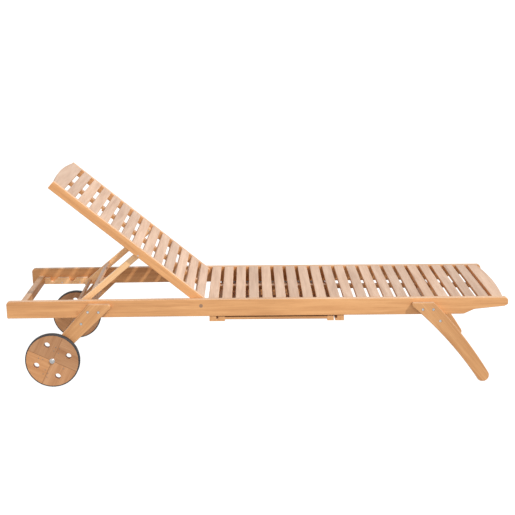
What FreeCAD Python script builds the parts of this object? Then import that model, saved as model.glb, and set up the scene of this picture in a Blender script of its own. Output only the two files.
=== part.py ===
import FreeCAD, Part
import Sketcher
import math
import os

# Reclining sun lounger in wood.
# X runs from the head end to the foot end, Y across, Z up.
# The origin is on the floor, under the middle of the side rails.
# Profiles are drawn with x measured from the head end of the rails.

V = FreeCAD.Vector
doc = FreeCAD.newDocument("Lounger")
sheet = doc.addObject("Spreadsheet::Sheet", "Dims")
values = {}


def cell(name, value):
    """Write one driving dimension into the sheet under its own alias."""
    line = len(values) + 1
    sheet.set("A%d" % line, name)
    sheet.set("B%d" % line, str(value))
    sheet.setAlias("B%d" % line, name)
    values[name] = float(value)


DIMENSIONS = {
    # overall frame
    "half_length": 1000,
    "rail_outer": 300,
    "rail_thick": 26,
    "rail_top": 342,
    "inner_half": 274,
    "arris": 2,
    # seat slats
    "slat_first": 804.5,
    "slat_pitch": 54.08,
    "slat_width": 40.5,
    "slat_thick": 15,
    "slat_edge": 3,
    # battens and cross members
    "batten_width": 30,
    "batten_thick": 16,
    "seat_batten_start": 808,
    "seat_batten_length": 1118,
    "cross_width": 24,
    "cross_height": 28,
    "cross_a": 1652,
    "cross_b": 1760,
    "foot_bar_start": 1926,
    "foot_bar_height": 22,
    "head_bar_start": 30,
    "head_bar_width": 25,
    "head_bar_height": 34.5,
    "head_bar_bottom": 272,
    "stretcher_width": 26,
    "stretcher_height": 30,
    "stretcher_edge": 4,
    "rear_stretcher_x": 297,
    "rear_stretcher_z": 250,
    "front_stretcher_x": 1728,
    "front_stretcher_z": 252,
    # legs, racks, wheels
    "leg_thick": 22,
    "rack_thick": 20,
    "wheel_x": 182,
    "wheel_z": 109,
    "wheel_radius": 104,
    "wheel_thick": 26,
    "wheel_inner": 331,
    "wheel_bore": 5.05,
    "wheel_hole": 12,
    "wheel_hole_at": 67.5,
    "wheel_hole_turn_near": 16.5,
    "wheel_hole_turn_far": 4,
    "tyre_radius": 109,
    "tyre_width": 24,
    "tyre_edge": 3,
    "axle_radius": 5,
    "axle_half": 364,
    "cap_radius": 11,
    "cap_thick": 5,
    "cap_gap": 0.4,
    "cap_edge": 2.5,
    "spacer_radius": 12,
    "spacer_length": 8.6,
    # screws
    "screw_head": 5,
    "screw_head_thick": 2.2,
    "screw_sink": 0.8,
    "screw_shank": 2.5,
    "screw_grip": 18,
    "screw_room": 5.75,
    "slot_length": 6.4,
    "slot_width": 1.2,
    "slot_depth": 1,
    "rack_screw_radius": 3,
    "rack_screw_z": 280,
    # hinge of the backrest
    "hinge_x": 775,
    "hinge_z": 316,
    "hinge_radius": 4,
    "hinge_bore": 4.05,
    "plug_radius": 7.5,
    "plug_thick": 4,
    # backrest, in its own frame: s up the back from the hinge, n square to it
    "back_angle": 39.25,
    "back_face": 26,
    "stile_thick": 22,
    "stile_outer": 272,
    "back_first": 4,
    "back_pitch": 54.25,
    # prop frame
    "prop_s": 319,
    "prop_n": -2,
    "prop_angle": 40.28,
    "prop_reach": 347,
    "arm_width": 25,
    "arm_thick": 20,
    "arm_outer": 248,
    "arm_tail": 375,
    "dowel_radius": 8,
    "dowel_half": 253.6,
    "prop_bar_start": 223,
    "prop_bar_width": 34,
    "prop_bar_thick": 9,
    "prop_bar_low": 0.5,
    "bolt_radius": 3,
    "bolt_bore": 3.05,
    # tray and its runners
    "runner_a": 808,
    "runner_b": 1311,
    "runner_width": 35,
    "runner_height": 20,
    "runner_bottom": 252,
    "rabbet_width": 8,
    "rabbet_height": 10,
    "tray_gap_a": 0.4,
    "tray_gap_b": 5.6,
    "tray_stile_width": 26.5,
    "tray_stile_height": 18.7,
    "tongue_grip": 6.6,
    "tongue_height": 8.7,
    "tongue_half": 262,
    "tray_board_thick": 10,
    "tray_board_rise": 6.7,
    "tray_board_width": 50,
    "tray_board_pitch": 61,
    "tray_half": 299.5,
}
for key, number in DIMENSIONS.items():
    cell(key, number)
doc.recompute()

SLATS = 21
BACK_SLATS = 13
TRAY_BOARDS = 10


def val(name):
    return values[name]


def bind(target, prop, expression):
    """Bind one property to an expression in which sheet names stand bare."""
    words = []
    for word in expression.split():
        words.append("Dims." + word if word in values else word)
    target.setExpression(prop, " ".join(words))


def place(target, x, y, z):
    """Bind the position of an object to three expressions."""
    bind(target, "Placement.Base.x", x)
    bind(target, "Placement.Base.y", y)
    bind(target, "Placement.Base.z", z)


def edge_names(shape, test):
    return ["Edge%d" % (i + 1) for i, e in enumerate(shape.Edges) if test(e)]


def plane_of(body, role):
    for feature in body.Origin.OriginFeatures:
        if feature.Role == role:
            return feature


def outline(body, role, key, points, arcs):
    """Closed sketch through fixed points; arcs holds radii of curved edges."""
    for i, point in enumerate(points):
        cell("%s_px%d" % (key, i), point[0])
        cell("%s_pz%d" % (key, i), point[1])
    for i, radius in arcs.items():
        cell("%s_arc%d" % (key, i), abs(radius))
    doc.recompute([sheet])
    sketch = body.newObject("Sketcher::SketchObject", "Outline_" + key)
    sketch.AttachmentSupport = [(plane_of(body, role), "")]
    sketch.MapMode = "FlatFace"
    count = len(points)
    ends = []
    for i in range(count):
        p = V(points[i][0], points[i][1], 0)
        q = V(points[(i + 1) % count][0], points[(i + 1) % count][1], 0)
        if i not in arcs:
            sketch.addGeometry(Part.LineSegment(p, q))
            ends.append((1, 2))
            continue
        radius = arcs[i]
        chord = q - p
        rise = math.sqrt(radius ** 2 - (chord.Length / 2) ** 2)
        side = V(-chord.y, chord.x, 0).normalize()
        centre = (p + q) * 0.5 + side * math.copysign(rise, radius)
        start, stop = (p, q) if radius > 0 else (q, p)
        a0 = math.atan2(start.y - centre.y, start.x - centre.x)
        a1 = math.atan2(stop.y - centre.y, stop.x - centre.x)
        circle = Part.Circle(centre, V(0, 0, 1), abs(radius))
        sketch.addGeometry(Part.ArcOfCircle(circle, a0, a1))
        ends.append((1, 2) if radius > 0 else (2, 1))
    for i in range(count):
        nxt = (i + 1) % count
        join = Sketcher.Constraint("Coincident", i, ends[i][1], nxt, ends[nxt][0])
        sketch.addConstraint(join)
    for i, point in enumerate(points):
        for kind, name, number in (
            ("DistanceX", "px", point[0]),
            ("DistanceY", "pz", point[1]),
        ):
            index = sketch.addConstraint(
                Sketcher.Constraint(kind, -1, 1, i, ends[i][0], float(number))
            )
            sketch.renameConstraint(index, "%s%d" % (name, i))
            bind(sketch, "Constraints.%s%d" % (name, i), "%s_%s%d" % (key, name, i))
    for i, radius in arcs.items():
        index = sketch.addConstraint(Sketcher.Constraint("Radius", i, abs(float(radius))))
        sketch.renameConstraint(index, "arc%d" % i)
        bind(sketch, "Constraints.arc%d" % i, "%s_arc%d" % (key, i))
    return sketch


def board(label, key, points, thick, role="XZ_Plane", arcs=None, corners=None, arris=True):
    """A flat board: outline padded by its thickness, corners and edges rounded."""
    body = doc.addObject("PartDesign::Body", label)
    body.Label = label
    sketch = outline(body, role, key, points, arcs or {})
    pad = body.newObject("PartDesign::Pad", "Pad_" + key)
    pad.Profile = sketch
    bind(pad, "Length", thick)
    for i, radius in (corners or {}).items():
        cell("%s_corner%d" % (key, i), radius)
    doc.recompute([sheet])
    doc.recompute([pad])
    tip = pad
    normal = V(0, 1, 0) if role == "XZ_Plane" else V(0, 0, 1)
    for i, radius in (corners or {}).items():
        px, pz = points[i][0], points[i][1]

        def at_corner(edge, px=px, pz=pz):
            a = edge.Vertexes[0].Point
            b = edge.Vertexes[-1].Point
            along = (b - a).Length > 1 and abs((b - a).normalize().dot(normal)) > 0.999
            second = a.z if role == "XZ_Plane" else a.y
            return along and abs(a.x - px) < 0.01 and abs(second - pz) < 0.01

        fillet = body.newObject("PartDesign::Fillet", "Corner_%s_%d" % (key, i))
        fillet.Base = (tip, edge_names(tip.Shape, at_corner))
        bind(fillet, "Radius", "%s_corner%d" % (key, i))
        doc.recompute([fillet])
        tip = fillet
    if arris:

        def in_face(edge):
            ends = [vertex.Point.dot(normal) for vertex in edge.Vertexes]
            return max(ends) - min(ends) < 0.01

        fillet = body.newObject("PartDesign::Fillet", "Arris_" + key)
        fillet.Base = (tip, edge_names(tip.Shape, in_face))
        bind(fillet, "Radius", "arris")
        doc.recompute([fillet])
        tip = fillet
    body.Tip = tip
    return body


def box(label, length, width, height, x, y, z):
    item = doc.addObject("Part::Box", label)
    item.Label = label
    bind(item, "Length", length)
    bind(item, "Width", width)
    bind(item, "Height", height)
    place(item, x, y, z)
    return item


def eased(label, base, axis, radius=None):
    """Round the long edges of a straight bar that runs along the axis."""
    doc.recompute([base])
    item = doc.addObject("Part::Fillet", label)
    item.Label = label
    item.Base = base
    size = val("arris") if radius is None else radius
    rounded = []
    for i, edge in enumerate(base.Shape.Edges):
        way = edge.tangentAt(edge.FirstParameter)
        if abs(way.dot(axis)) > 0.999:
            rounded.append((i + 1, size, size))
    item.Edges = rounded
    return item


def rod(label, radius, length, x, y, z):
    """A round bar along Y that starts at the given point."""
    item = doc.addObject("Part::Cylinder", label)
    item.Label = label
    bind(item, "Radius", radius)
    bind(item, "Height", length)
    item.Placement = FreeCAD.Placement(V(0, 0, 0), FreeCAD.Rotation(V(1, 0, 0), -90))
    place(item, x, y, z)
    return item


def fuse(label, items):
    item = doc.addObject("Part::MultiFuse", label)
    item.Label = label
    item.Shapes = items
    return item


def cut(label, base, tools):
    item = doc.addObject("Part::Cut", label)
    item.Label = label
    item.Base = base
    item.Tool = tools[0] if len(tools) == 1 else fuse(label + "_tools", tools)
    return item


def group(label, items):
    item = doc.addObject("Part::Compound", label)
    item.Label = label
    item.Links = items
    return item


AX = V(1, 0, 0)
AY = V(0, 1, 0)
SIDES = (("near", -1), ("far", 1))
nodes = []


def keep(item):
    nodes.append(item)
    return item


# ---------------------------------------------------------------- screws
# Each screw: x, z and side; the head sits just below the face of the leg.
REAR_SCREWS = ((325, 298.5), (367.5, 297.5), (297, 250))
FRONT_SCREWS = ((1657.5, 299.5), (1699.5, 299.5), (1728, 252))


screws = []
rooms = {}
for part_name, spots in (("rear", REAR_SCREWS), ("front", FRONT_SCREWS)):
    for side_name, side in SIDES:
        for i, (sx, sz) in enumerate(spots):
            tag = "%s_%s_%d" % (part_name, side_name, i)
            cell("sx_" + tag, sx)
            cell("sz_" + tag, sz)
            doc.recompute([sheet])
            x = "sx_%s - half_length" % tag
            z = "sz_" + tag
            if side < 0:
                head_y = "0 - rail_outer - leg_thick + screw_sink"
                shank_y = "0 - rail_outer - leg_thick + screw_sink + screw_head_thick"
                room_y = "0 - rail_outer - leg_thick"
            else:
                head_y = "rail_outer + leg_thick - screw_sink - screw_head_thick"
                shank_y = "rail_outer - screw_grip"
                room_y = "rail_outer + leg_thick - screw_sink - screw_head_thick"
            head = rod("head_" + tag, "screw_head", "screw_head_thick", x, head_y, z)
            shank_len = "leg_thick + screw_grip - screw_sink - screw_head_thick"
            shank = rod("shank_" + tag, "screw_shank", shank_len, x, shank_y, z)
            slot_y = head_y
            if side > 0:
                slot_y = "rail_outer + leg_thick - screw_sink - slot_depth"
            slots = []
            for wide, high in (("slot_length", "slot_width"), ("slot_width", "slot_length")):
                slot = box(
                    "%s_%s" % (wide, tag), wide, "slot_depth", high,
                    x + " - %s / 2" % wide, slot_y, z + " - %s / 2" % high,
                )
                slots.append(slot)
            whole = fuse("screw_whole_" + tag, [head, shank])
            screws.append(cut("screw_" + tag, whole, slots))
            room = rod(
                "room_" + tag, "screw_room", "screw_sink + screw_head_thick", x, room_y, z
            )
            rooms.setdefault((part_name, side_name), []).append((shank, room, i))
keep(group("leg_screws", screws))

# ---------------------------------------------------------------- side rails
RAIL = (
    (-0.5, 268.5), (640, 272.4), (1824, 275), (1866, 294.5), (1986, 306.5),
    (2000, 314), (2000, 342), (640, 342), (-2, 337),
)
RAIL_CORNERS = {0: 5, 2: 25, 3: 40, 4: 8, 5: 8, 6: 14, 8: 13}
pins = []
plugs = []
for side_name, side in SIDES:
    label = "side_rail_" + side_name
    blank = board(label + "_blank", "rail_" + side_name, RAIL, "rail_thick", corners=RAIL_CORNERS)
    rail_y = "0 - rail_outer + rail_thick" if side < 0 else "rail_outer"
    place(blank, "0 - half_length", rail_y, "0")
    tools = [t[0] for t in rooms[("rear", side_name)] if t[2] < 2]
    tools += [t[0] for t in rooms[("front", side_name)] if t[2] < 2]
    hx = "hinge_x - half_length"
    plug_y = "0 - rail_outer" if side < 0 else "rail_outer - plug_thick"
    plug = rod("plug_" + side_name, "plug_radius", "plug_thick", hx, plug_y, "hinge_z")
    pin_y = "0 - rail_outer + plug_thick" if side < 0 else "stile_outer - stile_thick"
    pin_len = "rail_outer - plug_thick - stile_outer + stile_thick"
    pin = rod("pin_" + side_name, "hinge_radius", pin_len, hx, pin_y, "hinge_z")
    plugs.append(plug)
    pins.append(pin)
    keep(cut(label, blank, tools + [plug, pin]))
keep(group("hinge_plugs", plugs))
keep(group("hinge_pins", pins))

# ---------------------------------------------------------------- seat
for i in range(SLATS):
    name = "seat_slat_%02d" % (i + 1)
    blank = box(
        name + "_blank", "slat_width", "2 * inner_half", "slat_thick",
        "slat_first + %d * slat_pitch - half_length" % i, "0 - inner_half",
        "rail_top - slat_thick",
    )
    keep(eased(name, blank, AY, val("slat_edge")))

seat_side = val("inner_half")
FOOT_SLAT = ((1940, -seat_side), (1981, -seat_side), (1981, seat_side), (1940, seat_side))
foot = board(
    "foot_slat", "foot", FOOT_SLAT, "slat_thick", role="XY_Plane", arcs={1: 2510},
)
place(foot, "0 - half_length", "0", "rail_top - slat_thick")
keep(foot)

under_slats = "rail_top - slat_thick - batten_thick"
blank = box(
    "seat_centre_batten_blank", "seat_batten_length", "batten_width", "batten_thick",
    "seat_batten_start - half_length", "0 - batten_width / 2", under_slats,
)
keep(eased("seat_centre_batten", blank, AX))

crosses = []
for letter in "ab":
    blank = box(
        "cross_blank_" + letter, "cross_width", "2 * inner_half", "cross_height",
        "cross_%s - half_length" % letter, "0 - inner_half",
        under_slats + " - cross_height",
    )
    crosses.append(eased("cross_" + letter + "_rail", blank, AY))
keep(group("seat_cross_rails", crosses))

blank = box(
    "foot_crossbar_blank", "cross_width", "2 * inner_half", "foot_bar_height",
    "foot_bar_start - half_length", "0 - inner_half",
    "rail_top - slat_thick - foot_bar_height",
)
keep(eased("foot_crossbar", blank, AY))

blank = box(
    "head_crossbar_blank", "head_bar_width", "2 * inner_half", "head_bar_height",
    "head_bar_start - half_length", "0 - inner_half", "head_bar_bottom",
)
keep(eased("head_crossbar", blank, AY))

# ---------------------------------------------------------------- racks
NOTCHES = (92, 176, 260)
rack_points = [(56, 272), (330, 272), (330, 300)]
for bottom in reversed(NOTCHES):
    rack_points += [
        (bottom + 24, 300), (bottom + 4, 282.5), (bottom - 5.5, 282.5), (bottom - 12, 300),
    ]
rack_points.append((56, 300))
rack_corners = {}
for i in range(len(NOTCHES)):
    rack_corners[4 + 4 * i] = 4
    rack_corners[5 + 4 * i] = 4
rack_screws = []
RACK_SCREW_X = (134, 214, 306)
for side_name, side in SIDES:
    blank = board(
        "rack_%s_blank" % side_name, "rack_" + side_name, rack_points, "rack_thick",
        corners=rack_corners, arris=False,
    )
    rack_y = "0 - inner_half + rack_thick" if side < 0 else "inner_half"
    place(blank, "0 - half_length", rack_y, "0")
    tools = []
    for i, sx in enumerate(RACK_SCREW_X):
        tag = "rack_%s_%d" % (side_name, i)
        cell("sx_" + tag, sx)
        doc.recompute([sheet])
        start = "0 - inner_half" if side < 0 else "inner_half - rack_thick"
        screw_x = "sx_%s - half_length" % tag
        tools.append(
            rod("screw_" + tag, "rack_screw_radius", "rack_thick", screw_x, start, "rack_screw_z")
        )
    rack_screws += tools
    keep(cut("rack_" + side_name, blank, tools))
keep(group("rack_screws", rack_screws))

# ---------------------------------------------------------------- legs
REAR_LEG = (
    (327, 329), (416, 329), (416, 313), (267, 171), (200, 74), (152, 92), (221, 210),
)
REAR_CORNERS = {0: 4, 1: 12, 2: 6, 3: 60, 4: 24, 5: 24, 6: 60}
# The front leg is a curved board whose foot is round, with a short flat to stand on.
FRONT_LEG = (
    (1614, 327), (1702, 327), (1711, 317.5), (1926.1, 38.3), (1910.5, 0), (1899.5, 0),
    (1884.9, 9.45), (1616, 313),
)
FRONT_ARCS = {2: -1750, 3: -25.2, 5: -25.2, 6: 1500}
FRONT_CORNERS = {0: 6, 1: 8}
axle = rod(
    "axle", "axle_radius", "2 * axle_half", "wheel_x - half_length", "0 - axle_half", "wheel_z"
)
for side_name, side in SIDES:
    leg_y = "0 - rail_outer" if side < 0 else "rail_outer + leg_thick"
    for part_name, points, arcs, corners in (
        ("rear", REAR_LEG, {}, REAR_CORNERS),
        ("front", FRONT_LEG, FRONT_ARCS, FRONT_CORNERS),
    ):
        label = "%s_leg_%s" % (part_name, side_name)
        blank = board(
            label + "_blank", "%s_%s" % (part_name, side_name), points, "leg_thick",
            arcs=arcs, corners=corners,
        )
        place(blank, "0 - half_length", leg_y, "0")
        tools = []
        for shank, room, i in rooms[(part_name, side_name)]:
            tools += [shank, room]
        if part_name == "rear":
            tools.append(axle)
        keep(cut(label, blank, tools))

for part_name in ("rear", "front"):
    label = part_name + "_stretcher"
    blank = box(
        label + "_blank", "stretcher_width", "2 * rail_outer", "stretcher_height",
        "%s_x - stretcher_width / 2 - half_length" % label, "0 - rail_outer",
        "%s_z - stretcher_height / 2" % label,
    )
    soft = eased(label + "_soft", blank, AY, val("stretcher_edge"))
    ends = [rooms[(part_name, s)][2][0] for s in ("near", "far")]
    keep(cut(label, soft, ends))

# ---------------------------------------------------------------- wheels
keep(axle)
caps = []
spacers = []
wx = "wheel_x - half_length"
for side_name, side in SIDES:
    label = "wheel_" + side_name
    face = "wheel_inner" if side > 0 else "0 - wheel_inner - wheel_thick"
    disc = rod(label + "_disc", "wheel_radius", "wheel_thick", wx, face, "wheel_z")
    tools = [rod(label + "_bore", "wheel_bore", "wheel_thick", wx, face, "wheel_z")]
    for i in range(4):
        turn = math.radians(val("wheel_hole_turn_" + side_name) + 90 * i)
        cell("hole_cos_%s_%d" % (side_name, i), round(math.cos(turn), 5))
        cell("hole_sin_%s_%d" % (side_name, i), round(math.sin(turn), 5))
        doc.recompute([sheet])
        tools.append(
            rod(
                "%s_hole_%d" % (label, i), "wheel_hole", "wheel_thick",
                wx + " + wheel_hole_at * hole_cos_%s_%d" % (side_name, i), face,
                "wheel_z + wheel_hole_at * hole_sin_%s_%d" % (side_name, i),
            )
        )
    keep(cut(label, disc, tools))
    tyre_y = "wheel_inner + wheel_thick / 2 - tyre_width / 2"
    if side < 0:
        tyre_y = "0 - wheel_inner - wheel_thick / 2 - tyre_width / 2"
    outer = rod("tyre_%s_outer" % side_name, "tyre_radius", "tyre_width", wx, tyre_y, "wheel_z")
    inner = rod("tyre_%s_inner" % side_name, "wheel_radius", "tyre_width", wx, tyre_y, "wheel_z")
    ring = cut("tyre_%s_ring" % side_name, outer, [inner])
    doc.recompute([ring])
    tyre = doc.addObject("Part::Fillet", "tyre_" + side_name)
    tyre.Label = "tyre_" + side_name
    tyre.Base = ring
    rims = []
    for i, edge in enumerate(ring.Shape.Edges):
        if hasattr(edge.Curve, "Radius") and abs(edge.Curve.Radius - val("tyre_radius")) < 0.1:
            rims.append((i + 1, val("tyre_edge"), val("tyre_edge")))
    tyre.Edges = rims
    keep(tyre)
    cap_y = "wheel_inner + wheel_thick + cap_gap"
    spacer_y = "rail_outer + leg_thick"
    if side < 0:
        cap_y = "0 - wheel_inner - wheel_thick - cap_gap - cap_thick"
        spacer_y = "0 - rail_outer - leg_thick - spacer_length"
    cap = rod("cap_%s_solid" % side_name, "cap_radius", "cap_thick", wx, cap_y, "wheel_z")
    doc.recompute([cap])
    dome = doc.addObject("Part::Fillet", "cap_%s_dome" % side_name)
    dome.Base = cap
    outer_side = val("wheel_inner") + val("wheel_thick") + val("cap_thick") / 2
    rims = []
    for i, edge in enumerate(cap.Shape.Edges):
        if abs(edge.CenterOfMass.y) > outer_side and hasattr(edge.Curve, "Radius"):
            rims.append((i + 1, val("cap_edge"), val("cap_edge")))
    dome.Edges = rims
    caps.append(cut("cap_" + side_name, dome, [axle]))
    spacer = rod(
        "spacer_%s_solid" % side_name, "spacer_radius", "spacer_length", wx, spacer_y, "wheel_z"
    )
    spacers.append(cut("spacer_" + side_name, spacer, [axle]))
keep(group("axle_caps", caps))
keep(group("axle_spacers", spacers))

# ---------------------------------------------------------------- tray
runners = []
for letter in "ab":
    blank = box(
        "runner_blank_" + letter, "runner_width", "2 * rail_outer", "runner_height",
        "runner_%s - half_length" % letter, "0 - rail_outer", "runner_bottom",
    )
    step_x = "runner_%s - half_length" % letter
    if letter == "a":
        step_x += " + runner_width - rabbet_width"
    step = box(
        "runner_step_" + letter, "rabbet_width", "2 * rail_outer", "rabbet_height",
        step_x, "0 - rail_outer", "runner_bottom + runner_height - rabbet_height",
    )
    runners.append(cut("runner_" + letter + "_bar", blank, [step]))
keep(group("tray_runners", runners))

# The tray hangs by a tongue on each stile, which slides in the rabbet of a runner.
stiles = []
inner_a = "runner_a - half_length + runner_width"
inner_b = "runner_b - half_length"
for letter in "ab":
    if letter == "a":
        body_x = inner_a + " + tray_gap_a"
        tongue_x = inner_a + " - tongue_grip"
    else:
        body_x = inner_b + " - tray_gap_b - tray_stile_width"
        tongue_x = inner_b + " - tray_gap_b"
    body_box = box(
        "tray_stile_body_" + letter, "tray_stile_width", "2 * tray_half", "tray_stile_height",
        body_x, "0 - tray_half", "runner_bottom",
    )
    tongue = box(
        "tray_tongue_" + letter, "tongue_grip + tray_gap_" + letter, "2 * tongue_half",
        "tongue_height", tongue_x, "0 - tongue_half",
        "runner_bottom + tray_stile_height - tongue_height",
    )
    stiles.append(fuse("tray_stile_" + letter, [body_box, tongue]))
keep(group("tray_stiles", stiles))

board_x = inner_a + " + tray_gap_a + tray_stile_width"
board_length = (
    "runner_b - runner_a - runner_width - tray_gap_a - tray_gap_b - 2 * tray_stile_width"
)
boards = []
for i in range(TRAY_BOARDS):
    blank = box(
        "tray_board_blank_%d" % i, board_length, "tray_board_width", "tray_board_thick",
        board_x, "0 - tray_half + %d * tray_board_pitch" % i,
        "runner_bottom + tray_board_rise",
    )
    boards.append(eased("tray_board_%d" % i, blank, AX))
keep(group("tray_boards", boards))

# ---------------------------------------------------------------- backrest
# In the back frame +X climbs the back from the hinge and +Z is its face.
hinge = V(val("hinge_x") - val("half_length"), 0, val("hinge_z"))
flip = FreeCAD.Rotation(V(0, 0, 1), 180)
lean = FreeCAD.Rotation(AY, val("back_angle")).multiply(flip)
back_place = FreeCAD.Placement(hinge, lean)


def on_back(item):
    """Carry a piece drawn in the back frame to the raised back."""
    item.Placement = back_place.multiply(item.Placement)
    return item


STILE = ((-13, -9), (762, -9), (760, 26), (-4, 26), (-13, 16))
STILE_CORNERS = {0: 8, 1: 4, 2: 4, 3: 6, 4: 6}
for side_name, side in SIDES:
    label = "backrest_stile_" + side_name
    blank = board(
        label + "_blank", "stile_" + side_name, STILE, "stile_thick", corners=STILE_CORNERS
    )
    lift = val("stile_outer") if side < 0 else -val("stile_outer") + val("stile_thick")
    blank.Placement = FreeCAD.Placement(V(0, lift, 0), FreeCAD.Rotation())
    start = lift - val("stile_thick")
    bores = []
    for tag, radius, s, n in (
        ("hinge", "hinge_bore", 0, 0),
        ("prop", "bolt_radius", val("prop_s"), val("prop_n")),
    ):
        bore = doc.addObject("Part::Cylinder", "bore_%s_%s" % (tag, side_name))
        bind(bore, "Radius", radius)
        bind(bore, "Height", "stile_thick")
        bore.Placement = FreeCAD.Placement(V(s, start, n), FreeCAD.Rotation(AX, -90))
        bores.append(bore)
    keep(on_back(cut(label, blank, bores)))

back_items = []
for i in range(BACK_SLATS):
    blank = box(
        "back_slat_blank_%d" % i, "slat_width", "2 * stile_outer - 2 * stile_thick",
        "slat_thick", "back_first + %d * back_pitch" % i, "stile_thick - stile_outer",
        "back_face - slat_thick",
    )
    back_items.append(eased("back_slat_%d" % i, blank, AY, val("slat_edge")))
keep(on_back(group("backrest_slats", back_items)))

back_side = val("stile_outer") - val("stile_thick")
HEAD_SLAT = ((709, -back_side), (758, -back_side), (758, back_side), (709, back_side))
head = board("head_slat", "head", HEAD_SLAT, "slat_thick", role="XY_Plane", arcs={1: 2200})
head.Placement = FreeCAD.Placement(
    V(0, 0, val("back_face") - val("slat_thick")), FreeCAD.Rotation()
)
keep(on_back(head))

# The batten is notched where the crossbar of the folded prop lies.
BACK_BATTEN = (
    (10, -5), (539, -5), (539, 1), (579, 1), (579, -5), (745, -5), (745, 11), (10, 11),
)
blank = board("backrest_batten", "bbat", BACK_BATTEN, "batten_width", arris=False)
blank.Placement = FreeCAD.Placement(V(0, val("batten_width") / 2, 0), FreeCAD.Rotation())
keep(on_back(blank))

# ---------------------------------------------------------------- prop frame
# In the prop frame +X runs from the pivot towards the dowel.
pivot = back_place.multVec(V(val("prop_s"), 0, val("prop_n")))
drop = FreeCAD.Rotation(AY, -val("prop_angle")).multiply(flip)
prop_place = FreeCAD.Placement(pivot, drop)


def on_prop(item):
    """Carry a piece drawn in the prop frame to the propped position."""
    item.Placement = prop_place.multiply(item.Placement)
    return item


ARM = ((-12.5, -12.5), (375, -12.5), (375, 12.5), (-12.5, 12.5))
ARM_CORNERS = {0: 11, 1: 10, 2: 10, 3: 11}
bolts = []
for side_name, side in SIDES:
    label = "prop_arm_" + side_name
    blank = board(label + "_blank", "arm_" + side_name, ARM, "arm_thick", corners=ARM_CORNERS)
    lift = val("arm_outer") if side < 0 else -val("arm_outer") + val("arm_thick")
    blank.Placement = FreeCAD.Placement(V(0, lift, 0), FreeCAD.Rotation())
    start = lift - val("arm_thick")
    bores = []
    for tag, radius, s in (("bolt", "bolt_bore", 0), ("dowel", "dowel_radius", val("prop_reach"))):
        bore = doc.addObject("Part::Cylinder", "arm_%s_%s" % (tag, side_name))
        bind(bore, "Radius", radius)
        bind(bore, "Height", "arm_thick")
        bore.Placement = FreeCAD.Placement(V(s, start, 0), FreeCAD.Rotation(AX, -90))
        bores.append(bore)
    keep(on_prop(cut(label, blank, bores)))
    bolt = doc.addObject("Part::Cylinder", "bolt_" + side_name)
    bind(bolt, "Radius", "bolt_radius")
    bind(bolt, "Height", "stile_outer - arm_outer + arm_thick")
    inner = val("arm_outer") - val("arm_thick")
    begin = inner if side < 0 else -val("stile_outer")
    bolt.Placement = FreeCAD.Placement(
        V(val("prop_s"), begin, val("prop_n")), FreeCAD.Rotation(AX, -90)
    )
    bolts.append(bolt)
keep(on_back(group("prop_bolts", bolts)))

dowel = doc.addObject("Part::Cylinder", "prop_dowel")
bind(dowel, "Radius", "dowel_radius")
bind(dowel, "Height", "2 * dowel_half")
dowel.Placement = FreeCAD.Placement(
    V(val("prop_reach"), -val("dowel_half"), 0), FreeCAD.Rotation(AX, -90)
)
keep(on_prop(dowel))

blank = box(
    "prop_crossbar_blank", "prop_bar_width", "2 * arm_outer - 2 * arm_thick",
    "prop_bar_thick", "prop_bar_start", "arm_thick - arm_outer", "prop_bar_low",
)
keep(on_prop(eased("prop_crossbar", blank, AY)))

# ---------------------------------------------------------------- check and export
doc.recompute()
failed = []
for item in doc.Objects:
    if "Invalid" in item.State or "Error" in item.State:
        failed.append(item.Name)
if failed:
    raise RuntimeError("failed objects: %s" % failed)

os.makedirs("parts", exist_ok=True)
names = set()
for item in nodes:
    shape = item.Shape
    if shape.isNull() or not shape.isValid():
        raise RuntimeError("bad shape: " + item.Label)
    if item.Label in names:
        raise RuntimeError("name used twice: " + item.Label)
    names.add(item.Label)
    shape.exportStep("parts/%s.step" % item.Label)
    print("%-24s solids %2d volume %10.0f" % (item.Label, len(shape.Solids), shape.Volume))
print("nodes", len(names))
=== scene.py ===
import math
import bmesh
import bpy
from mathutils import Matrix, Vector


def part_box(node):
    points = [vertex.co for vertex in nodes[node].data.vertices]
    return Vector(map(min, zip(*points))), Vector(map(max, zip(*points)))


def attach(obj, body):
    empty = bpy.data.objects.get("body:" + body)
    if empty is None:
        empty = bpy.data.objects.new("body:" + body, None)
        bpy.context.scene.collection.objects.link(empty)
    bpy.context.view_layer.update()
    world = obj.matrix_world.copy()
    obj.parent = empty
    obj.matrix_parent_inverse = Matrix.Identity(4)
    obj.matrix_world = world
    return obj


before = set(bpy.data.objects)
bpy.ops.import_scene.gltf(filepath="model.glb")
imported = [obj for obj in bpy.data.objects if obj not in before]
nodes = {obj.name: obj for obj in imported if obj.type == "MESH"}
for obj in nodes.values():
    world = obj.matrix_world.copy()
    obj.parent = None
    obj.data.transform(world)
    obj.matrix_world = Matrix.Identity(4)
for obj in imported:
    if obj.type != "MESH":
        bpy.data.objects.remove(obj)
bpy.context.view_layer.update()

BACK_ANGLE = math.radians(39.25)
PROP_ANGLE = math.radians(-40.28)


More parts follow.
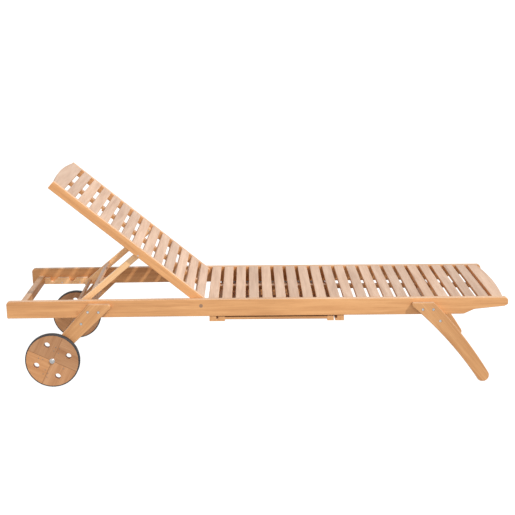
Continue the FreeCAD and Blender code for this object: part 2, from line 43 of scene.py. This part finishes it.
# ------------------------------------------------------------------ materials
class Graph:
    """Small helper that adds and links shader nodes."""

    def __init__(self, name):
        self.mat = bpy.data.materials.new(name)
        self.mat.use_nodes = True
        self.tree = self.mat.node_tree
        self.bsdf = self.tree.nodes["Principled BSDF"]

    def add(self, kind, **settings):
        node = self.tree.nodes.new(kind)
        for key, value in settings.items():
            setattr(node, key, value)
        return node

    def link(self, a, b):
        self.tree.links.new(a, b)

    def math(self, op, a, b=None):
        node = self.add("ShaderNodeMath", operation=op)
        for i, value in enumerate((a, b)):
            if value is None:
                continue
            if isinstance(value, (int, float)):
                node.inputs[i].default_value = value
            else:
                self.link(value, node.inputs[i])
        return node.outputs[0]

    def ramp(self, fac, stops):
        node = self.add("ShaderNodeValToRGB")
        while len(node.color_ramp.elements) < len(stops):
            node.color_ramp.elements.new(0.5)
        for element, (pos, colour) in zip(node.color_ramp.elements, stops):
            element.position = pos
            element.color = (*colour, 1)
        self.link(fac, node.inputs[0])
        return node.outputs[0]

    def mix(self, fac, a, b, mode="MIX"):
        node = self.add("ShaderNodeMix", data_type="RGBA", blend_type=mode)
        for socket, value in ((node.inputs[0], fac), (node.inputs[6], a), (node.inputs[7], b)):
            if isinstance(value, (int, float)):
                socket.default_value = value
            elif isinstance(value, tuple):
                socket.default_value = (*value, 1)
            else:
                self.link(value, socket)
        return node.outputs[2]


def grain_nodes(g, coords, seed):
    """Long figure, fine streaks and pores along local X of the coordinates."""
    def stretched(along, across, shift):
        m = g.add("ShaderNodeMapping")
        m.inputs["Scale"].default_value = (along, across, across)
        m.inputs["Location"].default_value = (shift, shift * 0.7, shift * 1.3)
        g.link(coords, m.inputs["Vector"])
        return m.outputs[0]

    def noise(vector, scale, detail, rough, distort=0.0):
        n = g.add("ShaderNodeTexNoise", noise_dimensions="4D")
        n.inputs["Scale"].default_value = scale
        n.inputs["Detail"].default_value = detail
        n.inputs["Roughness"].default_value = rough
        n.inputs["Distortion"].default_value = distort
        g.link(vector, n.inputs["Vector"])
        g.link(seed, n.inputs["W"])
        return n.outputs["Fac"]

    figure = noise(stretched(1.2, 16, 3.0), 2.6, 3, 0.55, 0.6)
    streak = noise(stretched(3.0, 190, 7.0), 2.2, 4, 0.62)
    pores = noise(stretched(26, 900, 11.0), 1.6, 2, 0.5)
    blotch = noise(stretched(3.0, 6.0, 5.0), 1.4, 2, 0.5)
    return figure, streak, pores, blotch


# how much redder, greener and bluer the lightest board is than the middle one
LIFT = (0.16, 0.13, 0.08)


def wood(name, tones, turn=(0, 0, 0), rough=0.42, contrast=1.15, spread=0.5, row=None, knot=None,
         top_light_tint=(0.97, 1.2, 1.75)):
    """Oiled hardwood. tones are dark, middle and light; turn sets the grain.

    row is (direction, start, pitch) of a node that holds a row of boards, so
    that each of them gets its own figure and tone. knot is a ring mark's place.
    The faces that look up are multiplied by a tint: a painted sheen where it pales them, painted
    shade where it darkens them.
    """
    g = Graph(name)
    coord = g.add("ShaderNodeTexCoord")
    spin = g.add("ShaderNodeMapping", vector_type="POINT")
    spin.inputs["Rotation"].default_value = turn
    g.link(coord.outputs["Object"], spin.inputs["Vector"])
    info = g.add("ShaderNodeObjectInfo")
    seed = g.math("MULTIPLY", info.outputs["Random"], 37.0)
    if row:
        direction, start, pitch = row
        reach = g.add("ShaderNodeVectorMath", operation="DOT_PRODUCT")
        reach.inputs[1].default_value = direction
        g.link(coord.outputs["Object"], reach.inputs[0])
        count = g.math("DIVIDE", g.math("SUBTRACT", reach.outputs["Value"], start), pitch)
        seed = g.math("ADD", seed, g.math("MULTIPLY", g.math("FLOOR", count), 7.31))
    figure, streak, pores, blotch = grain_nodes(g, spin.outputs[0], seed)
    tone = g.math("ADD", g.math("MULTIPLY", figure, 0.55 * contrast),
                  g.math("MULTIPLY", streak, 0.45 * contrast))
    tone = g.math("ADD", tone, 0.5 - 0.5 * contrast)
    dark, middle, light = tones
    colour = g.ramp(tone, [(0.3, dark), (0.5, middle), (0.7, light)])
    # each board has its own tone
    own = g.add("ShaderNodeTexWhiteNoise", noise_dimensions="1D")
    g.link(seed, own.inputs["W"])
    shade = g.ramp(own.outputs["Value"], [(0.0, (1 - 0.22 * spread,) * 3),
                                          (0.5, (1.0, 1.0, 1.0)),
                                          (1.0, tuple(1 + k * spread for k in LIFT))])
    colour = g.mix(1.0, colour, shade, "MULTIPLY")
    patch = g.ramp(blotch, [(0.3, (0.93, 0.91, 0.88)), (0.65, (1.03, 1.02, 1.01))])
    colour = g.mix(0.8, colour, patch, "MULTIPLY")
    pore = g.ramp(pores, [(0.30, (0.62, 0.52, 0.44)), (0.42, (1, 1, 1))])
    colour = g.mix(0.35, colour, pore, "MULTIPLY")
    # faces that look up get the tint: painted sheen on the slats, painted shade on the tray
    facing = g.add("ShaderNodeNewGeometry")
    parts = g.add("ShaderNodeSeparateXYZ")
    g.link(facing.outputs["Normal"], parts.inputs[0])
    top_light_mask = g.ramp(parts.outputs["Z"], [(0.5, (0, 0, 0)), (0.72, (1, 1, 1))])
    top_lit_colour = g.mix(1.0, colour, top_light_tint, "MULTIPLY")
    colour = g.mix(top_light_mask, colour, top_lit_colour)
    if knot:
        away = g.add("ShaderNodeMapping", vector_type="POINT")
        away.inputs["Location"].default_value = [-k * v for k, v in zip(KNOT_SCALE, knot)]
        away.inputs["Scale"].default_value = KNOT_SCALE
        g.link(coord.outputs["Object"], away.inputs["Vector"])
        reach = g.add("ShaderNodeVectorMath", operation="LENGTH")
        g.link(away.outputs[0], reach.inputs[0])
        ring = g.ramp(reach.outputs["Value"], [(0.45, (0.97, 0.95, 0.92)),
                                               (0.75, (0.80, 0.74, 0.68)),
                                               (1.0, (1, 1, 1))])
        colour = g.mix(1.0, colour, ring, "MULTIPLY")
    g.link(colour, g.bsdf.inputs["Base Color"])
    rough_out = g.math("ADD", g.math("MULTIPLY", streak, 0.16), rough - 0.08)
    g.link(rough_out, g.bsdf.inputs["Roughness"])
    bump = g.add("ShaderNodeBump")
    bump.inputs["Strength"].default_value = 0.22
    bump.inputs["Distance"].default_value = 0.0006
    height = g.math("ADD", g.math("MULTIPLY", streak, 0.7), g.math("MULTIPLY", pores, 0.5))
    g.link(height, bump.inputs["Height"])
    g.link(bump.outputs[0], g.bsdf.inputs["Normal"])
    return g.mat


# dark, middle and light tones: sawn faces, a darker copy for painted shade, a lighter copy for
# painted light, wheel boards
SIDE = ((0.49, 0.222, 0.083), (0.65, 0.327, 0.133), (0.775, 0.425, 0.188))
PAINTED_SHADE_TONES = ((0.43, 0.19, 0.068), (0.57, 0.28, 0.108), (0.68, 0.365, 0.155))
PAINTED_LIGHT_TONES = ((0.70, 0.37, 0.16), (0.88, 0.53, 0.26), (0.94, 0.63, 0.35))
WHEEL = ((0.36, 0.155, 0.062), (0.47, 0.235, 0.108), (0.58, 0.315, 0.16))
# tint of the slats' upper faces: a painted sheen, paler and greyer than the sides
TOP_SHEEN_TINT = (0.91, 1.19, 2.0)
# tone of each quarter of a wheel: lower left, lower right, upper left, upper right
QUARTER_TONES = ((0.0, (1.2, 1.14, 1.02)), (1 / 3, (1.12, 1.1, 1.08)),
                 (2 / 3, (0.93, 0.92, 0.92)), (1.0, (0.97, 0.97, 0.98)))
ALONG_X = (0, 0, 0)
ALONG_Y = (0, 0, math.radians(90))
KNOT_SCALE = (170.0, 0.0, 110.0)

# the far rail takes the darker copy of the wood: painted shade
rail_wood = wood("rail_wood", PAINTED_SHADE_TONES, ALONG_X)
KNOT_PLACE = (-0.7204, -0.30, 0.2903)
near_rail_wood = wood("near_rail_wood", SIDE, ALONG_X, knot=KNOT_PLACE)
# the racks take the lighter copy of the wood: painted light
rack_wood = wood("rack_wood", PAINTED_LIGHT_TONES, ALONG_X)
slat_wood = wood("slat_wood", SIDE, ALONG_Y, spread=0.5, top_light_tint=TOP_SHEEN_TINT)
cross_wood = wood("cross_wood", SIDE, ALONG_Y)
# the seat batten takes the darker copy of the wood: painted shade under the seat
batten_wood = wood("batten_wood", PAINTED_SHADE_TONES, ALONG_X)
stile_wood = wood("stile_wood", SIDE, (0, -BACK_ANGLE, 0))
# the prop arms take the lighter copy of the wood: painted light
prop_wood = wood("prop_wood", PAINTED_LIGHT_TONES, (0, -PROP_ANGLE, 0))
REAR_LEG_ANGLE = math.radians(46)
FRONT_LEG_ANGLE = math.radians(-51)
rear_leg_wood = wood("rear_leg_wood", SIDE, (0, REAR_LEG_ANGLE, 0))
front_leg_wood = wood("front_leg_wood", SIDE, (0, FRONT_LEG_ANGLE, 0))
tray_start, tray_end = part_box("tray_boards")
# the tray's upward faces are darkened: painted shade under the seat
tray_wood = wood("tray_wood", SIDE, ALONG_X, spread=0.8, top_light_tint=(0.72, 0.70, 0.68),
                 row=((0, 1, 0), tray_start[1] - 0.005, 0.061))
up_back = Vector((-math.cos(BACK_ANGLE), 0, math.sin(BACK_ANGLE)))
BACK_PITCH = 0.05425
back_first = up_back.dot(Vector((-0.225, 0, 0.316))) + 0.004
back_wood = wood("back_wood", SIDE, ALONG_Y, spread=0.5, top_light_tint=TOP_SHEEN_TINT,
                 row=(tuple(up_back), back_first - 0.006, BACK_PITCH))
END_GRAIN = ((0.26, 0.15, 0.09), (0.34, 0.205, 0.13), (0.43, 0.27, 0.175))
plug_wood = wood("plug_wood", END_GRAIN, (0, 1.1, 0))


def wheel_wood(name, centre, turn):
    """Four quarter boards laid pinwheel fashion, with dark seams."""
    g = Graph(name)
    coord = g.add("ShaderNodeTexCoord")
    shift = g.add("ShaderNodeVectorMath", operation="SUBTRACT")
    shift.inputs[1].default_value = centre
    g.link(coord.outputs["Object"], shift.inputs[0])
    spin = g.add("ShaderNodeVectorRotate", rotation_type="Y_AXIS")
    spin.inputs["Angle"].default_value = turn
    g.link(shift.outputs[0], spin.inputs["Vector"])
    sep = g.add("ShaderNodeSeparateXYZ")
    g.link(spin.outputs[0], sep.inputs[0])
    x, z = sep.outputs["X"], sep.outputs["Z"]
    sx = g.math("GREATER_THAN", x, 0.0)
    sz = g.math("GREATER_THAN", z, 0.0)
    swap = g.math("ABSOLUTE", g.math("SUBTRACT", sx, sz))
    quarter = g.math("ADD", sx, g.math("MULTIPLY", sz, 2.0))
    plain = g.add("ShaderNodeCombineXYZ")
    g.link(x, plain.inputs[0])
    g.link(z, plain.inputs[1])
    crossed = g.add("ShaderNodeCombineXYZ")
    g.link(z, crossed.inputs[0])
    g.link(x, crossed.inputs[1])
    pick = g.add("ShaderNodeMix", data_type="VECTOR")
    g.link(swap, pick.inputs[0])
    g.link(plain.outputs[0], pick.inputs[4])
    g.link(crossed.outputs[0], pick.inputs[5])
    seed = g.math("MULTIPLY", g.math("ADD", quarter, 1.0), 5.3)
    figure, streak, pores, blotch = grain_nodes(g, pick.outputs[1], seed)
    tone = g.math("ADD", g.math("MULTIPLY", figure, 0.6), g.math("MULTIPLY", streak, 0.4))
    colour = g.ramp(tone, [(0.32, WHEEL[0]), (0.5, WHEEL[1]), (0.68, WHEEL[2])])
    shade = g.ramp(g.math("DIVIDE", quarter, 3.0), QUARTER_TONES)
    colour = g.mix(1.0, colour, shade, "MULTIPLY")
    pore = g.ramp(pores, [(0.30, (0.62, 0.52, 0.44)), (0.42, (1, 1, 1))])
    colour = g.mix(0.35, colour, pore, "MULTIPLY")
    near = g.math("MINIMUM", g.math("ABSOLUTE", x), g.math("ABSOLUTE", z))
    seam = g.ramp(g.math("MULTIPLY", near, 400.0), [(0.25, (0, 0, 0)), (0.55, (1, 1, 1))])
    colour = g.mix(seam, (0.30, 0.13, 0.05), colour)
    g.link(colour, g.bsdf.inputs["Base Color"])
    g.link(g.math("ADD", g.math("MULTIPLY", streak, 0.16), 0.44), g.bsdf.inputs["Roughness"])
    bump = g.add("ShaderNodeBump")
    bump.inputs["Strength"].default_value = 0.3
    bump.inputs["Distance"].default_value = 0.0008
    g.link(g.math("ADD", g.math("MULTIPLY", streak, 0.6), seam), bump.inputs["Height"])
    g.link(bump.outputs[0], g.bsdf.inputs["Normal"])
    return g.mat


def steel(name, rough=0.28, shade=1.0):
    """Plated steel with a fine mottle; shade darkens it."""
    g = Graph(name)
    coord = g.add("ShaderNodeTexCoord")
    n = g.add("ShaderNodeTexNoise")
    n.inputs["Scale"].default_value = 900
    n.inputs["Detail"].default_value = 3
    g.link(coord.outputs["Object"], n.inputs["Vector"])
    colour = g.ramp(n.outputs["Fac"], [(0.3, [0.75 * shade] * 3), (0.7, [0.97 * shade] * 3)])
    g.link(colour, g.bsdf.inputs["Base Color"])
    g.link(g.math("ADD", g.math("MULTIPLY", n.outputs["Fac"], 0.2), rough - 0.1),
           g.bsdf.inputs["Roughness"])
    g.bsdf.inputs["Metallic"].default_value = 1.0
    bump = g.add("ShaderNodeBump")
    bump.inputs["Strength"].default_value = 0.1
    bump.inputs["Distance"].default_value = 0.0002
    g.link(n.outputs["Fac"], bump.inputs["Height"])
    g.link(bump.outputs[0], g.bsdf.inputs["Normal"])
    return g.mat


def rubber(name):
    """Dull black rubber with a grainy skin."""
    g = Graph(name)
    coord = g.add("ShaderNodeTexCoord")
    n = g.add("ShaderNodeTexNoise")
    n.inputs["Scale"].default_value = 320
    n.inputs["Detail"].default_value = 4
    g.link(coord.outputs["Object"], n.inputs["Vector"])
    colour = g.ramp(n.outputs["Fac"], [(0.3, (0.016, 0.016, 0.018)), (0.7, (0.045, 0.045, 0.05))])
    g.link(colour, g.bsdf.inputs["Base Color"])
    g.link(g.math("ADD", g.math("MULTIPLY", n.outputs["Fac"], 0.25), 0.42),
           g.bsdf.inputs["Roughness"])
    bump = g.add("ShaderNodeBump")
    bump.inputs["Strength"].default_value = 0.35
    bump.inputs["Distance"].default_value = 0.0004
    g.link(n.outputs["Fac"], bump.inputs["Height"])
    g.link(bump.outputs[0], g.bsdf.inputs["Normal"])
    return g.mat


zinc = steel("zinc_steel", 0.3)
tyre_rubber = rubber("tyre_rubber")
WHEEL_NEAR = (-0.818, -0.344, 0.109)
WHEEL_FAR = (-0.818, 0.344, 0.109)
wheel_near_wood = wheel_wood("wheel_near_wood", WHEEL_NEAR, math.radians(-25.5))
wheel_far_wood = wheel_wood("wheel_far_wood", WHEEL_FAR, math.radians(-38))


STEEL_NODES = ("leg_screws", "rack_screws", "hinge_pins", "prop_bolts", "axle",
               "axle_caps", "axle_spacers")


def choose(name):
    """Material of one CAD node."""
    if name in STEEL_NODES:
        return zinc
    if name.startswith("tyre"):
        return tyre_rubber
    if name == "wheel_near":
        return wheel_near_wood
    if name == "wheel_far":
        return wheel_far_wood
    if name == "hinge_plugs":
        return plug_wood
    if name.startswith("rack"):
        return rack_wood
    if name == "side_rail_near":
        return near_rail_wood
    if name == "side_rail_far":
        return rail_wood
    if name == "seat_centre_batten":
        return batten_wood
    if name.startswith("backrest_stile") or name == "backrest_batten":
        return stile_wood
    if name.startswith("prop_arm"):
        return prop_wood
    if name.startswith("rear_leg"):
        return rear_leg_wood
    if name.startswith("front_leg"):
        return front_leg_wood
    if name == "tray_boards":
        return tray_wood
    if name == "backrest_slats":
        return back_wood
    if "slat" in name:
        return slat_wood
    return cross_wood


for name, obj in nodes.items():
    if obj.type != "MESH":
        continue
    material = choose(name)
    if not obj.material_slots:
        obj.data.materials.append(material)
    for slot in obj.material_slots:
        slot.material = material

# ------------------------------------------------------------------ brads
BRAD_RADIUS = 0.0019
BRAD_RISE = 0.0006
BRAD_SUNK = 0.001
# where the small brads sit about the hub, in millimetres across and up
BRADS = ((-54, 12), (-38, 6), (17, 56), (8, 41), (31, 50), (26, 31),
         (44, -33), (-30, -37), (-20, -51), (-39, -54), (-25, -67))


def brads(name, hub, face, outward, body, material):
    """Domed heads along the joints of a wheel, a little proud of its outer face."""
    bm = bmesh.new()
    around = 16
    rings = [(1.0, -BRAD_SUNK)]
    for step in range(4):
        lift = math.radians(22.5 * step)
        rings.append((math.cos(lift), BRAD_RISE * math.sin(lift)))
    for across, up in BRADS:
        loops = []
        for reach, rise in rings:
            loop = []
            for i in range(around):
                turn = 2 * math.pi * i / around
                loop.append(bm.verts.new((
                    hub[0] + across / 1000 + BRAD_RADIUS * reach * math.cos(turn),
                    face + outward * rise,
                    hub[2] + up / 1000 + BRAD_RADIUS * reach * math.sin(turn))))
            loops.append(loop)
        for low, high in zip(loops, loops[1:]):
            for i in range(around):
                j = (i + 1) % around
                bm.faces.new((low[i], low[j], high[j], high[i]))
        bm.faces.new(loops[0])
        top = bm.verts.new((hub[0] + across / 1000, face + outward * BRAD_RISE,
                            hub[2] + up / 1000))
        for i in range(around):
            bm.faces.new((loops[-1][i], loops[-1][(i + 1) % around], top))
    bmesh.ops.recalc_face_normals(bm, faces=bm.faces)
    mesh = bpy.data.meshes.new(name)
    bm.to_mesh(mesh)
    bm.free()
    for polygon in mesh.polygons:
        polygon.use_smooth = True
    mesh.materials.append(material)
    obj = bpy.data.objects.new(name, mesh)
    bpy.context.scene.collection.objects.link(obj)
    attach(obj, body)


brad_steel = steel("brad_steel", 0.5, 0.28)
near_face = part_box("wheel_near")[0][1]
far_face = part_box("wheel_far")[1][1]
brads("wheel_brads_near", WHEEL_NEAR, near_face, -1, "wheel_near_body", brad_steel)
brads("wheel_brads_far", WHEEL_FAR, far_face, 1, "wheel_far_body", brad_steel)


# ------------------------------------------------------------------ stage
def area(name, size, place, aim, power, colour=(1, 1, 1)):
    data = bpy.data.lights.new(name, "AREA")
    data.shape = "RECTANGLE"
    data.size, data.size_y = size
    data.energy = power
    data.color = colour
    obj = bpy.data.objects.new(name, data)
    obj.location = place
    way = Vector(aim) - Vector(place)
    obj.rotation_euler = way.to_track_quat("-Z", "Y").to_euler()
    bpy.context.scene.collection.objects.link(obj)
    return obj


FLOOR_HALF = 600
# height in the dome, from straight down to straight up, and its brightness
DOME = ((0.42, 0.45), (0.5, 1.05), (0.88, 0.45))


def make_floor():
    bm = bmesh.new()
    bmesh.ops.create_grid(bm, x_segments=2, y_segments=2, size=FLOOR_HALF)
    mesh = bpy.data.meshes.new("floor")
    bm.to_mesh(mesh)
    bm.free()
    obj = bpy.data.objects.new("floor", mesh)
    bpy.context.scene.collection.objects.link(obj)
    g = Graph("floor_paint")
    g.bsdf.inputs["Base Color"].default_value = (0.12, 0.12, 0.12, 1)
    g.bsdf.inputs["Emission Color"].default_value = (1, 1, 1, 1)
    g.bsdf.inputs["Emission Strength"].default_value = 0.99
    g.bsdf.inputs["Roughness"].default_value = 0.9
    mesh.materials.append(g.mat)
    # the ground reads white in the picture but throws no light back up
    obj.visible_diffuse = False
    obj.visible_glossy = False
    return obj


make_floor()
SUN_WAY = (-0.6435, 0.55, -0.9)
world = bpy.data.worlds.new("studio")
world.use_nodes = True
tree = world.node_tree
dome = tree.nodes.new("ShaderNodeTexCoord")
split = tree.nodes.new("ShaderNodeSeparateXYZ")
sky = tree.nodes.new("ShaderNodeValToRGB")
sky.color_ramp.elements.new(0.5)
for element, (height, level) in zip(sky.color_ramp.elements, DOME):
    element.position = height
    element.color = (level, level, level, 1)
halve = tree.nodes.new("ShaderNodeMath")
halve.operation = "MULTIPLY_ADD"
halve.inputs[1].default_value = 0.5
halve.inputs[2].default_value = 0.5
tree.links.new(dome.outputs["Generated"], split.inputs[0])
tree.links.new(split.outputs["Z"], halve.inputs[0])
tree.links.new(halve.outputs[0], sky.inputs[0])
tree.links.new(sky.outputs[0], tree.nodes["Background"].inputs["Color"])
tree.nodes["Background"].inputs["Strength"].default_value = 1.0
bpy.context.scene.world = world
bpy.context.scene.view_settings.view_transform = "Standard"
area("overhead", (5.0, 3.0), (0.1, 0.6, 3.4), (0.0, 0.1, 0.3), 20)
area("front_fill", (3.5, 2.0), (0.3, -4.2, 1.8), (0.0, 0.0, 0.3), 42, (1.0, 0.97, 0.92))
sun_data = bpy.data.lights.new("key", "SUN")
sun_data.energy = 2.35
sun_data.angle = math.radians(2.2)
sun = bpy.data.objects.new("key", sun_data)
sun.rotation_euler = Vector(SUN_WAY).to_track_quat("-Z", "Y").to_euler()
bpy.context.scene.collection.objects.link(sun)

# ------------------------------------------------------------------ camera
camera_data = bpy.data.cameras.new("camera")
camera_data.sensor_width = 36
camera_data.lens = 81.93
camera_data.shift_x = 0.0144
camera_data.shift_y = -0.0009
camera = bpy.data.objects.new("camera", camera_data)
bpy.context.scene.collection.objects.link(camera)
CAMERA_PLACE = (-0.02657, -4.8165, 1.5327)
PITCH = math.radians(12.709)
YAW = math.radians(-0.015)
ROLL = math.radians(-0.423)
forward = Vector((math.sin(YAW) * math.cos(PITCH),
                  math.cos(YAW) * math.cos(PITCH),
                  -math.sin(PITCH)))
right = Vector((math.cos(YAW), -math.sin(YAW), 0))
up = right.cross(forward)
rolled_right = right * math.cos(ROLL) + up * math.sin(ROLL)
rolled_up = up * math.cos(ROLL) - right * math.sin(ROLL)
place = Matrix((rolled_right, rolled_up, -forward)).transposed().to_4x4()
place.translation = Vector(CAMERA_PLACE)
camera.matrix_world = place
bpy.context.scene.camera = camera
